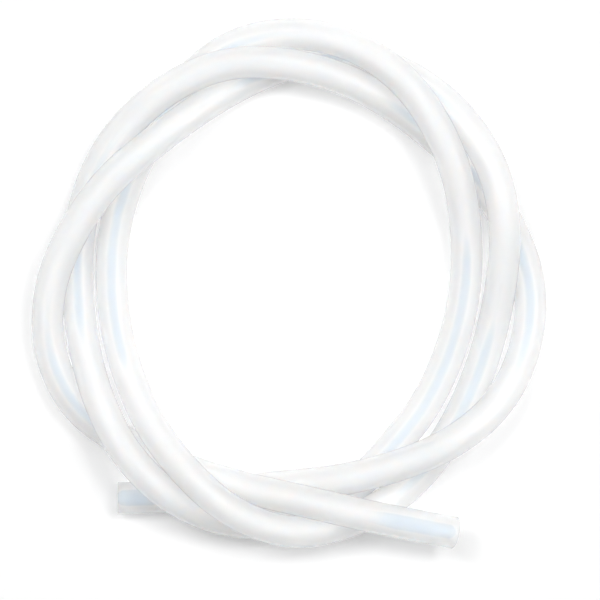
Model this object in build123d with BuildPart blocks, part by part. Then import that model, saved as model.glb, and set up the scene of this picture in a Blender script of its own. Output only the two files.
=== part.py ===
"""Coil of clear silicone tubing: one tube laid in three loose, interlaced turns, its two open ends crossing."""

from build123d import *
import math
import os

# Driving dimensions, in millimetres
tube_diameter = 8.0
bore_diameter = 5.0
coil_radius = 54.5  # middle of the coil to the middle of the bundle
coil_middle = (0.22, -0.10)  # where the coil's middle lies, so that the whole part is centred on the origin
lay_gap = 0.25  # space left where one pass of the tube lies across another

# The route is a row of stations round the coil, clockwise from above. A station has an angle from the front
# (-Y), a lane, which is how far out of the bundle's middle it lies, and a layer, which is how high it lies:
# 0 on the surface, 1 on top of one pass. Lanes are in tube diameters.
stations_per_turn = 24
station_angle = 360.0 / stations_per_turn

# The right end, from its cut face inwards: it runs out over everything and droops.
right_end = [
    (-33.5, 2.52, 1.00),
    (-26.0, 1.53, 1.40),
    (-17.5, 0.75, 1.64),
    (-8.5, 0.18, 1.67),
    (2.5, -0.18, 1.38),
]

# Lane and layer at each station of the three turns, the first one station past the front.
turns = [
    [
        (-0.27, 1.04), (-0.10, 0.68), (0.37, 0.12), (1.02, 0.00), (1.09, 0.08), (0.72, 0.68),
        (0.13, 1.15), (-0.31, 1.28), (-0.68, 1.10), (-0.68, 0.68), (-0.39, 0.08), (0.12, 0.00),
        (0.62, 0.00), (0.74, 0.00), (0.70, 0.33), (0.54, 0.95), (0.18, 1.15), (-0.19, 0.62),
        (-0.30, 0.00), (-0.18, 0.00), (0.16, 0.00), (0.63, 0.00), (0.92, 0.68), (1.07, 1.20),
    ],
    [
        (0.56, 1.82), (-0.12, 1.78), (-0.59, 1.00), (-0.97, 0.12), (-1.15, 0.00), (-1.20, 0.00),
        (-1.06, 0.00), (-0.83, 0.00), (-0.47, 0.00), (0.21, 0.00), (0.91, 0.00), (1.09, 0.48),
        (0.94, 1.12), (0.49, 1.12), (-0.13, 1.10), (-0.66, 0.88), (-1.08, 0.15), (-1.28, 0.00),
        (-1.37, 0.00), (-1.28, 0.00), (-1.03, 0.00), (-0.69, 0.00), (0.10, 0.00), (0.68, 0.02),
    ],
    [
        (0.96, 0.57), (0.88, 1.27), (0.58, 1.22), (0.18, 0.85), (-0.03, 0.02), (-0.12, 0.00),
        (0.08, 0.00), (0.27, 0.25), (0.36, 0.68), (0.40, 1.08), (0.37, 1.10), (0.05, 1.12),
        (-0.18, 0.74), (-0.34, 0.10), (-0.34, 0.00), (-0.05, 0.00), (0.33, 0.00), (0.78, 0.00),
        (0.90, 0.02), (0.79, 0.58), (0.31, 1.15), (-0.19, 1.12), (-0.45, 1.05),
    ],
]

# The left end, to its cut face: it comes down beside the bundle, passes under it and lies on the surface.
left_end = [
    (-1.0, -0.49, 0.30),
    (12.0, -0.19, 0.00),
    (22.0, 0.30, 0.00),
    (31.0, 1.01, 0.00),
    (38.7, 1.81, 0.00),
]


def station_point(angle, lane, layer):
    """Middle of the tube at a station."""
    reach = coil_radius + lane * tube_diameter
    turned = math.radians(angle)
    middle_x, middle_y = coil_middle
    height = tube_diameter / 2 + layer * (tube_diameter + lay_gap)
    return Vector(middle_x - reach * math.sin(turned), middle_y - reach * math.cos(turned), height)


def route_points():
    """Points of the whole route, from the right cut end to the left one."""
    points = [station_point(*station) for station in right_end]
    for turn, stations in enumerate(turns):
        for step, (lane, layer) in enumerate(stations, start=1):
            points.append(station_point(360.0 * turn + station_angle * step, lane, layer))
    points += [station_point(*station) for station in left_end]
    return points


def bend_radii(points):
    """Largest radius that each corner has room for between its two runs."""
    radii = []
    for before, here, after in zip(points, points[1:], points[2:]):
        half_turn = math.radians((here - before).get_angle(after - here)) / 2
        shorter_run = min((here - before).length, (after - here).length)
        radii.append(0.45 * shorter_run / math.tan(half_turn))
    return radii


points = route_points()
radii = bend_radii(points)

with BuildPart() as silicone_tube:
    with BuildLine() as route:
        FilletPolyline(*points, radius=radii)
    path = route.wire()
    with BuildSketch(Plane(origin=path @ 0, z_dir=path % 0)):
        Circle(tube_diameter / 2)
        Circle(bore_diameter / 2, mode=Mode.SUBTRACT)
    sweep(path=path)

silicone_tube.part.label = "silicone_tube"
os.makedirs("parts", exist_ok=True)
export_step(silicone_tube.part, "parts/silicone_tube.step")

section_area = math.pi / 4 * (tube_diameter**2 - bore_diameter**2)
print("bend radii, smallest first:", " ".join(f"{radius:.1f}" for radius in sorted(radii)))
print(f"length {path.length:.1f} mm, section x length {section_area * path.length:.0f} mm3")
print(f"volume {silicone_tube.part.volume:.0f} mm3, box {silicone_tube.part.bounding_box().size}")
for name, end in (("right", 0), ("left", 1)):
    print(f"{name} end at {path @ end}, along the tube {path % end}")
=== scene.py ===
"""Coil of clear silicone tubing on a white table, seen from straight above."""

import math

import bpy
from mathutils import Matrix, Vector


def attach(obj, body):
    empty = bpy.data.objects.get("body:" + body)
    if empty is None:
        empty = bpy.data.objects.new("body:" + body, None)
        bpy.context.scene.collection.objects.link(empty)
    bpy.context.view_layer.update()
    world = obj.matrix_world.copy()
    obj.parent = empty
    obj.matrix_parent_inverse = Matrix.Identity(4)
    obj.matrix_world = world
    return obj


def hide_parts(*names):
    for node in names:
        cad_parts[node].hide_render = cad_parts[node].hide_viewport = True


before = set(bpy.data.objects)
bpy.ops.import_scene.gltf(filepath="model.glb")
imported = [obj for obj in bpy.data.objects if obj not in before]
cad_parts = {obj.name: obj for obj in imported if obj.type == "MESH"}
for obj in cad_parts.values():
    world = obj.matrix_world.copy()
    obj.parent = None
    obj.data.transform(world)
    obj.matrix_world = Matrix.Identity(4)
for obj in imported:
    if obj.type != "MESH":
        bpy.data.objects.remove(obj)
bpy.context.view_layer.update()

# Sizes of the real tube and of the way it lies, in metres
tube_diameter = 0.008
bore_diameter = 0.005
coil_radius = 0.0545  # middle of the coil to the middle of the bundle
coil_middle = (0.00022, -0.00010)
lay_gap = 0.00025  # space left where one pass of the tube lies across another

# The route's stations, clockwise from above. A station has an angle from the front (-Y), a lane, which is
# how far out of the bundle's middle it lies, in tube diameters, and a layer, which is how many passes lie
# under it.
stations_per_turn = 24
station_angle = 360.0 / stations_per_turn

# The right end, from its cut face inwards
right_end = [
    (-33.5, 2.52, 1.00),
    (-26.0, 1.53, 1.40),
    (-17.5, 0.75, 1.64),
    (-8.5, 0.18, 1.67),
    (2.5, -0.18, 1.38),
]

# Lane and layer at each station of the three turns, the first one station past the front
turns = [
    [
        (-0.27, 1.04), (-0.10, 0.68), (0.37, 0.12), (1.02, 0.00), (1.09, 0.08), (0.72, 0.68),
        (0.13, 1.15), (-0.31, 1.28), (-0.68, 1.10), (-0.68, 0.68), (-0.39, 0.08), (0.12, 0.00),
        (0.62, 0.00), (0.74, 0.00), (0.70, 0.33), (0.54, 0.95), (0.18, 1.15), (-0.19, 0.62),
        (-0.30, 0.00), (-0.18, 0.00), (0.16, 0.00), (0.63, 0.00), (0.92, 0.68), (1.07, 1.20),
    ],
    [
        (0.56, 1.82), (-0.12, 1.78), (-0.59, 1.00), (-0.97, 0.12), (-1.15, 0.00), (-1.20, 0.00),
        (-1.06, 0.00), (-0.83, 0.00), (-0.47, 0.00), (0.21, 0.00), (0.91, 0.00), (1.09, 0.48),
        (0.94, 1.12), (0.49, 1.12), (-0.13, 1.10), (-0.66, 0.88), (-1.08, 0.15), (-1.28, 0.00),
        (-1.37, 0.00), (-1.28, 0.00), (-1.03, 0.00), (-0.69, 0.00), (0.10, 0.00), (0.68, 0.02),
    ],
    [
        (0.96, 0.57), (0.88, 1.27), (0.58, 1.22), (0.18, 0.85), (-0.06, 0.02), (-0.14, 0.00),
        (0.04, 0.00), (0.25, 0.25), (0.36, 0.68), (0.40, 1.08), (0.37, 1.10), (0.05, 1.12),
        (-0.18, 0.74), (-0.34, 0.10), (-0.34, 0.00), (-0.05, 0.00), (0.33, 0.00), (0.78, 0.00),
        (0.90, 0.02), (0.79, 0.58), (0.31, 1.15), (-0.19, 1.12), (-0.45, 1.05),
    ],
]

# The left end, to its cut face
left_end = [
    (-1.0, -0.49, 0.30),
    (12.0, -0.19, 0.00),
    (22.0, 0.30, 0.00),
    (31.0, 1.01, 0.00),
    (38.7, 1.81, 0.00),
]

# The photo's frame: where its middle falls on the table, and how much of the table it spans
view_middle = (0.00273, -0.00429)
view_width = 0.15066
camera_height = 2.0
camera_reach = 10.0  # how far it sees
sensor_width = 36.0  # in millimetres

# The tube's line and mesh
spline_order = 3  # the line is a row of parabolas
steps_per_point = 10  # along the route
sides_round = 56
broken_edge = 0.00012  # how far the edges of a cut are rounded off
tube_map = "along_and_around"  # along the tube in u and once round it in v, both in metres of surface

# The silicone
refraction = 1.41
transmission = 0.2
haze_depth = 0.0015  # how far light spreads inside it
haze_by_colour = (0.9, 1.0, 1.1)  # how far red, green and blue spread, as shares of that depth
haze_waves = (60, 150)  # to the metre, along the tube and round it
haze_detail = 2.0
streak_waves = (30, 1400)
streak_detail = 3.0
streak_gloss = 0.05  # how much the streaks vary the roughness
streak_strength = 0.3
streak_height = 0.00002

# Its three faces: the darker bluish colour of the band of painted shade, where the shadowed table shows
# straight through the wall, the colour towards its sides, and the roughness
silicone_faces = [
    ("silicone_outside", (0.77, 0.82, 0.875), (0.998, 0.998, 0.998), 0.2),
    ("silicone_bore", (0.78, 0.835, 0.89), (0.99, 0.993, 0.997), 0.25),
    ("silicone_cut", (0.78, 0.86, 0.92), (0.8, 0.87, 0.93), 0.4),
]

# How much of a ray goes straight through one face of the silicone, unbent
clear_to_view = 0.43
clear_to_lamps = 0.73

# The bluish band of painted shade over the bore. A slant is 0 where a face looks straight at the viewer, 1
# at its outline.
band_full = 0.0  # slant up to which the band is full
band_gone = 0.07  # slant from which it is gone
band_waver = 0.012  # how far its edge wavers
band_height = 0.0098  # above the table, where a raised pass starts to hide the painted shade
end_widening = 0.10  # how much wider it is at the free ends
right_free = 0.026  # lengths of the two free ends
left_free = 0.016
free_fade = 0.4  # share of a free end's length over which the band grows wider

# The light. A lamp has its tilts off the vertical to the right and to the back and the half of the angle it
# fills, all in degrees, its share of the light on the table, and whether it shows as a highlight. The
# surroundings give the rest.
lamp_distance = 3.0
lamps = [
    ("left_back_lamp", -20, 16, 8, 0.34, False),
    ("right_back_lamp", 20, 16, 8, 0.34, False),
    ("right_lamp", 44, 0, 7, 0.10, True),
]
glow_at_sides = 0.26
glow_on_top = 0.20

# The table. Its lift is a faint glow for looking rays alone, so that it looks plain white.
table_reach = 3.0  # from its middle to each of its sides
table_colour = (0.98, 0.98, 0.98)
table_roughness = 0.9
table_lift = 0.035


def station_point(angle, lane, layer):
    """Middle of the tube at a station."""
    reach = coil_radius + lane * tube_diameter
    turned = math.radians(angle)
    middle_x, middle_y = coil_middle
    height = tube_diameter / 2 + layer * (tube_diameter + lay_gap)
    return Vector((middle_x - reach * math.sin(turned), middle_y - reach * math.cos(turned), height))


def route_points():
    """Points of the whole route, from the right cut end to the left one."""
    points = [station_point(*station) for station in right_end]
    for turn, stations in enumerate(turns):
        for step, (lane, layer) in enumerate(stations, start=1):
            points.append(station_point(360.0 * turn + station_angle * step, lane, layer))
    points += [station_point(*station) for station in left_end]
    return points


def add_camera():
    """Long lens straight above the coil."""
    data = bpy.data.cameras.new("camera")
    data.type = "PERSP"
    data.sensor_width = sensor_width
    data.lens = sensor_width * camera_height / view_width
    data.clip_end = camera_reach
    camera = bpy.data.objects.new("camera", data)
    camera.location = (*view_middle, camera_height)
    bpy.context.scene.collection.objects.link(camera)
    bpy.context.scene.camera = camera


def spline_line(points):
    """Points read along the smooth spline that has the route's points as its control points."""
    curve = bpy.data.curves.new("route", "CURVE")
    curve.dimensions = "3D"
    curve.resolution_u = steps_per_point
    spline = curve.splines.new("NURBS")
    spline.points.add(len(points) - 1)
    for control, point in zip(spline.points, points):
        control.co = (*point, 1.0)
    spline.order_u = spline_order
    spline.use_endpoint_u = True
    route = bpy.data.objects.new("route", curve)
    bpy.context.scene.collection.objects.link(route)
    bpy.context.view_layer.update()
    mesh = bpy.data.meshes.new_from_object(route)
    line = [vertex.co.copy() for vertex in mesh.vertices]
    bpy.data.objects.remove(route)
    bpy.data.curves.remove(curve)
    bpy.data.meshes.remove(mesh)
    return line


def line_length(line):
    """Length along the line."""
    return sum((b - a).length for a, b in zip(line, line[1:]))


def frames_along(line):
    """Place, side, up and ahead at each point of the line, carried along it without a twist."""
    ahead = (line[1] - line[0]).normalized()
    side = ahead.cross(Vector((0, 0, 1))).normalized()
    frames = []
    for before, here, after in zip([line[0], *line], line, [*line[1:], line[-1]]):
        new_ahead = (after - before).normalized()
        side = ahead.rotation_difference(new_ahead) @ side
        ahead = new_ahead
        side = (side - ahead * side.dot(ahead)).normalized()
        frames.append((here, side, ahead.cross(side), ahead))
    return frames


def tube_mesh(name, line):
    """Hollow tube round the line, closed at each end by its cut face, with lightly broken edges."""
    edge = broken_edge
    outer, bore = tube_diameter / 2, bore_diameter / 2
    frames = frames_along(line)
    travelled = [0.0]
    for a, b in zip(line, line[1:]):
        travelled.append(travelled[-1] + (b - a).length)
    total = travelled[-1]

    # The section's loop runs down the outside, over the far cut, back up the bore and over the near cut.
    # A ring has its point on the line, its shift ahead of that point and its radius.
    inside = [i for i, s in enumerate(travelled) if 2 * edge < s < total - 2 * edge]
    rings = [
        (0, 0.0, outer - edge),
        (0, edge, outer),
        *[(i, 0.0, outer) for i in inside],
        (-1, -edge, outer),
        (-1, 0.0, outer - edge),
        (-1, 0.0, bore + edge),
        (-1, -edge, bore),
        *[(i, 0.0, bore) for i in reversed(inside)],
        (0, edge, bore),
        (0, 0.0, bore + edge),
    ]

    vertices = []
    along = []
    for index, shift, radius in rings:
        here, side, up, ahead = frames[index]
        for k in range(sides_round):
            turned = 2 * math.pi * k / sides_round
            outwards = side * math.cos(turned) + up * math.sin(turned)
            vertices.append(here + ahead * shift + outwards * radius)
        along.append(travelled[index] + shift)

    faces = []
    for ring in range(len(rings)):
        following = (ring + 1) % len(rings)
        for k in range(sides_round):
            beside = (k + 1) % sides_round
            faces.append((
                ring * sides_round + k,
                following * sides_round + k,
                following * sides_round + beside,
                ring * sides_round + beside,
            ))
    mesh = bpy.data.meshes.new(name)
    mesh.from_pydata([tuple(v) for v in vertices], [], faces)
    mesh.polygons.foreach_set("use_smooth", [True] * len(faces))

    layer = mesh.uv_layers.new(name=tube_map)
    for polygon in mesh.polygons:
        k = polygon.index % sides_round
        for loop, step in zip(polygon.loop_indices, (0, 0, 1, 1)):
            ring = mesh.loops[loop].vertex_index // sides_round
            layer.data[loop].uv = (along[ring], (k + step) / sides_round * math.pi * tube_diameter)

    # A strip of faces takes the material of the outside, the bore or the cuts, as silicone_faces has them.
    side_strips = len(inside) + 3
    bore_start = side_strips + 1
    for polygon in mesh.polygons:
        strip = polygon.index // sides_round
        if strip < side_strips:
            polygon.material_index = 0
        elif bore_start <= strip < bore_start + side_strips:
            polygon.material_index = 1
        else:
            polygon.material_index = 2
    mesh.update()
    return mesh


def new_material(name):
    """Material with its nodes, its links and its shader."""
    material = bpy.data.materials.new(name)
    material.use_nodes = True
    nodes = material.node_tree.nodes
    shader = nodes["Principled BSDF"]
    return material, nodes, material.node_tree.links, shader


def ranged(nodes, links, value, to_min, to_max, from_min=0.0, from_max=1.0, smooth=False):
    """Value carried over from one range to another, and held at its ends."""
    node = nodes.new("ShaderNodeMapRange")
    node.interpolation_type = "SMOOTHSTEP" if smooth else "LINEAR"
    node.inputs["From Min"].default_value = from_min
    node.inputs["From Max"].default_value = from_max
    node.inputs["To Min"].default_value = to_min
    node.inputs["To Max"].default_value = to_max
    links.new(value, node.inputs["Value"])
    return node.outputs["Result"]


def combined(nodes, links, operation, first, second):
    """One value worked out from two by the named operation."""
    node = nodes.new("ShaderNodeMath")
    node.operation = operation
    links.new(first, node.inputs[0])
    links.new(second, node.inputs[1])
    return node.outputs["Value"]


def looking_rays(nodes, links):
    """1 for a ray from the camera or off a shiny or clear surface, 0 for one that gathers light."""
    path = nodes.new("ShaderNodeLightPath")
    seen = path.outputs["Is Camera Ray"]
    for kind in ("Is Glossy Ray", "Is Transmission Ray"):
        seen = combined(nodes, links, "MAXIMUM", seen, path.outputs[kind])
    return seen


def tube_noise(nodes, links, waves, detail):
    """Noise laid on the tube's own map, with so many waves to the metre along it and around it."""
    along, around = waves
    place = nodes.new("ShaderNodeUVMap")
    place.uv_map = tube_map
    stretch = nodes.new("ShaderNodeMapping")
    stretch.inputs["Scale"].default_value = (along, around, 1)
    noise = nodes.new("ShaderNodeTexNoise")
    noise.inputs["Scale"].default_value = 1.0
    noise.inputs["Detail"].default_value = detail
    links.new(place.outputs["UV"], stretch.inputs["Vector"])
    links.new(stretch.outputs["Vector"], noise.inputs["Vector"])
    return noise.outputs["Fac"]


def near_ends(nodes, links, length):
    """1 over the outer part of each of the tube's free ends, falling to 0 where they reach the coil."""
    place = nodes.new("ShaderNodeUVMap")
    place.uv_map = tube_map
    parts = nodes.new("ShaderNodeSeparateXYZ")
    links.new(place.outputs["UV"], parts.inputs["Vector"])
    nearness = []
    for start, stop in ((right_free, 0.0), (length - left_free, length)):
        full = start + (stop - start) * free_fade
        nearness.append(ranged(nodes, links, parts.outputs["X"], 0.0, 1.0, start, full, smooth=True))
    return combined(nodes, links, "MAXIMUM", *nearness)


def silicone(length, name, shade_band_colour, thick_colour, roughness):
    """Milky silicone with painted shade: bluish where one looks straight through it to the shadowed table,
    whiter towards its sides.
    """
    material, nodes, links, shader = new_material(name)
    shader.inputs["IOR"].default_value = refraction
    shader.inputs["Transmission Weight"].default_value = transmission
    shader.inputs["Subsurface Weight"].default_value = 1.0
    shader.inputs["Subsurface Radius"].default_value = haze_by_colour
    shader.inputs["Subsurface Scale"].default_value = haze_depth

    # The bluish band of painted shade over the bore, wider at the free ends, with an edge that wavers with
    # the haze
    slant = nodes.new("ShaderNodeLayerWeight")
    slant.inputs["Blend"].default_value = 0.5
    haze = tube_noise(nodes, links, haze_waves, haze_detail)
    waver = ranged(nodes, links, haze, -band_waver, band_waver)
    wavering = combined(nodes, links, "ADD", slant.outputs["Facing"], waver)
    ends = near_ends(nodes, links, length)
    wider = ranged(nodes, links, ends, 0.0, -end_widening)
    widened = combined(nodes, links, "ADD", wavering, wider)
    band = ranged(nodes, links, widened, 0.0, 1.0, band_full, band_gone, smooth=True)

    # The painted shade is hidden where the tube climbs over milky passes, except at its free ends.
    place = nodes.new("ShaderNodeTexCoord")
    parts = nodes.new("ShaderNodeSeparateXYZ")
    links.new(place.outputs["Object"], parts.inputs["Vector"])
    fully_raised = band_height + tube_diameter / 2
    raised = ranged(nodes, links, parts.outputs["Z"], 0.0, 1.0, band_height, fully_raised, smooth=True)
    hidden = combined(nodes, links, "SUBTRACT", raised, ends)
    colour = nodes.new("ShaderNodeMix")
    colour.data_type = "RGBA"
    colour.inputs["A"].default_value = (*shade_band_colour, 1)
    colour.inputs["B"].default_value = (*thick_colour, 1)
    links.new(combined(nodes, links, "MAXIMUM", band, hidden), colour.inputs["Factor"])
    links.new(colour.outputs["Result"], shader.inputs["Base Color"])

    # Faint drawn streaks along the tube, in its gloss and its surface
    streaks = tube_noise(nodes, links, streak_waves, streak_detail)
    gloss = ranged(nodes, links, streaks, roughness - streak_gloss, roughness + streak_gloss)
    relief = nodes.new("ShaderNodeBump")
    relief.inputs["Strength"].default_value = streak_strength
    relief.inputs["Distance"].default_value = streak_height
    links.new(gloss, shader.inputs["Roughness"])
    links.new(streaks, relief.inputs["Height"])
    links.new(relief.outputs["Normal"], shader.inputs["Normal"])

    # Part of every ray goes straight through, and more of those that ask for the light of a lamp.
    path = nodes.new("ShaderNodeLightPath")
    share = ranged(nodes, links, path.outputs["Is Shadow Ray"], clear_to_view, clear_to_lamps)
    straight = nodes.new("ShaderNodeBsdfTransparent")
    through = nodes.new("ShaderNodeMixShader")
    links.new(share, through.inputs["Fac"])
    links.new(shader.outputs["BSDF"], through.inputs[1])
    links.new(straight.outputs["BSDF"], through.inputs[2])
    links.new(through.outputs["Shader"], nodes["Material Output"].inputs["Surface"])
    return material


def add_tube():
    """The whole length of tubing, on its route."""
    points = route_points()
    line = spline_line(points)
    mesh = tube_mesh("tubing", line)
    for face in silicone_faces:
        mesh.materials.append(silicone(line_length(line), *face))
    tube = bpy.data.objects.new("tubing", mesh)
    bpy.context.scene.collection.objects.link(tube)
    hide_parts("silicone_tube")
    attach(tube, "root")


def add_floor():
    """Plain white table."""
    reach = table_reach
    mesh = bpy.data.meshes.new("floor")
    corners = [(-reach, -reach, 0), (reach, -reach, 0), (reach, reach, 0), (-reach, reach, 0)]
    mesh.from_pydata(corners, [], [(0, 1, 2, 3)])
    material, nodes, links, shader = new_material("table")
    shader.inputs["Base Color"].default_value = (*table_colour, 1)
    shader.inputs["Roughness"].default_value = table_roughness
    shader.inputs["Specular IOR Level"].default_value = 0.0
    shader.inputs["Emission Color"].default_value = (1, 1, 1, 1)
    lift = ranged(nodes, links, looking_rays(nodes, links), 0.0, table_lift)
    links.new(lift, shader.inputs["Emission Strength"])
    mesh.materials.append(material)
    floor = bpy.data.objects.new("floor", mesh)
    bpy.context.scene.collection.objects.link(floor)


def add_lamp(name, tilt_right, tilt_back, half_angle, share, highlight):
    """Round lamp that faces the coil.

    It stands off the vertical by its two tilts and looks half_angle wide from its middle to its rim. It
    gives its share of the light that makes a white table just white.
    """
    aim = Vector((math.tan(math.radians(tilt_right)), math.tan(math.radians(tilt_back)), 1)).normalized()
    radius = lamp_distance * math.tan(math.radians(half_angle))
    radiance = share * (radius**2 + lamp_distance**2) / radius**2 / aim.z
    data = bpy.data.lights.new(name, "AREA")
    data.shape = "DISK"
    data.size = 2 * radius
    data.energy = radiance * math.pi**2 * radius**2
    lamp = bpy.data.objects.new(name, data)
    lamp.location = lamp_distance * aim
    lamp.rotation_euler = (-lamp.location).to_track_quat("-Z", "Y").to_euler()
    lamp.visible_glossy = highlight
    bpy.context.scene.collection.objects.link(lamp)


def add_world():
    """Surroundings that give a little more light from the sides, and are plain white to look at."""
    world = bpy.data.worlds.new("surroundings")
    world.use_nodes = True
    nodes, links = world.node_tree.nodes, world.node_tree.links
    background = nodes["Background"]
    background.inputs["Color"].default_value = (1, 1, 1, 1)
    direction = nodes.new("ShaderNodeTexCoord")
    parts = nodes.new("ShaderNodeSeparateXYZ")
    strength = nodes.new("ShaderNodeMix")
    strength.inputs["B"].default_value = 1.0
    links.new(direction.outputs["Generated"], parts.inputs["Vector"])
    links.new(looking_rays(nodes, links), strength.inputs["Factor"])
    links.new(ranged(nodes, links, parts.outputs["Z"], glow_at_sides, glow_on_top), strength.inputs["A"])
    links.new(strength.outputs["Result"], background.inputs["Strength"])
    bpy.context.scene.world = world


add_camera()
add_tube()
add_floor()
add_world()
for lamp in lamps:
    add_lamp(*lamp)
bpy.context.scene.view_settings.view_transform = "Standard"
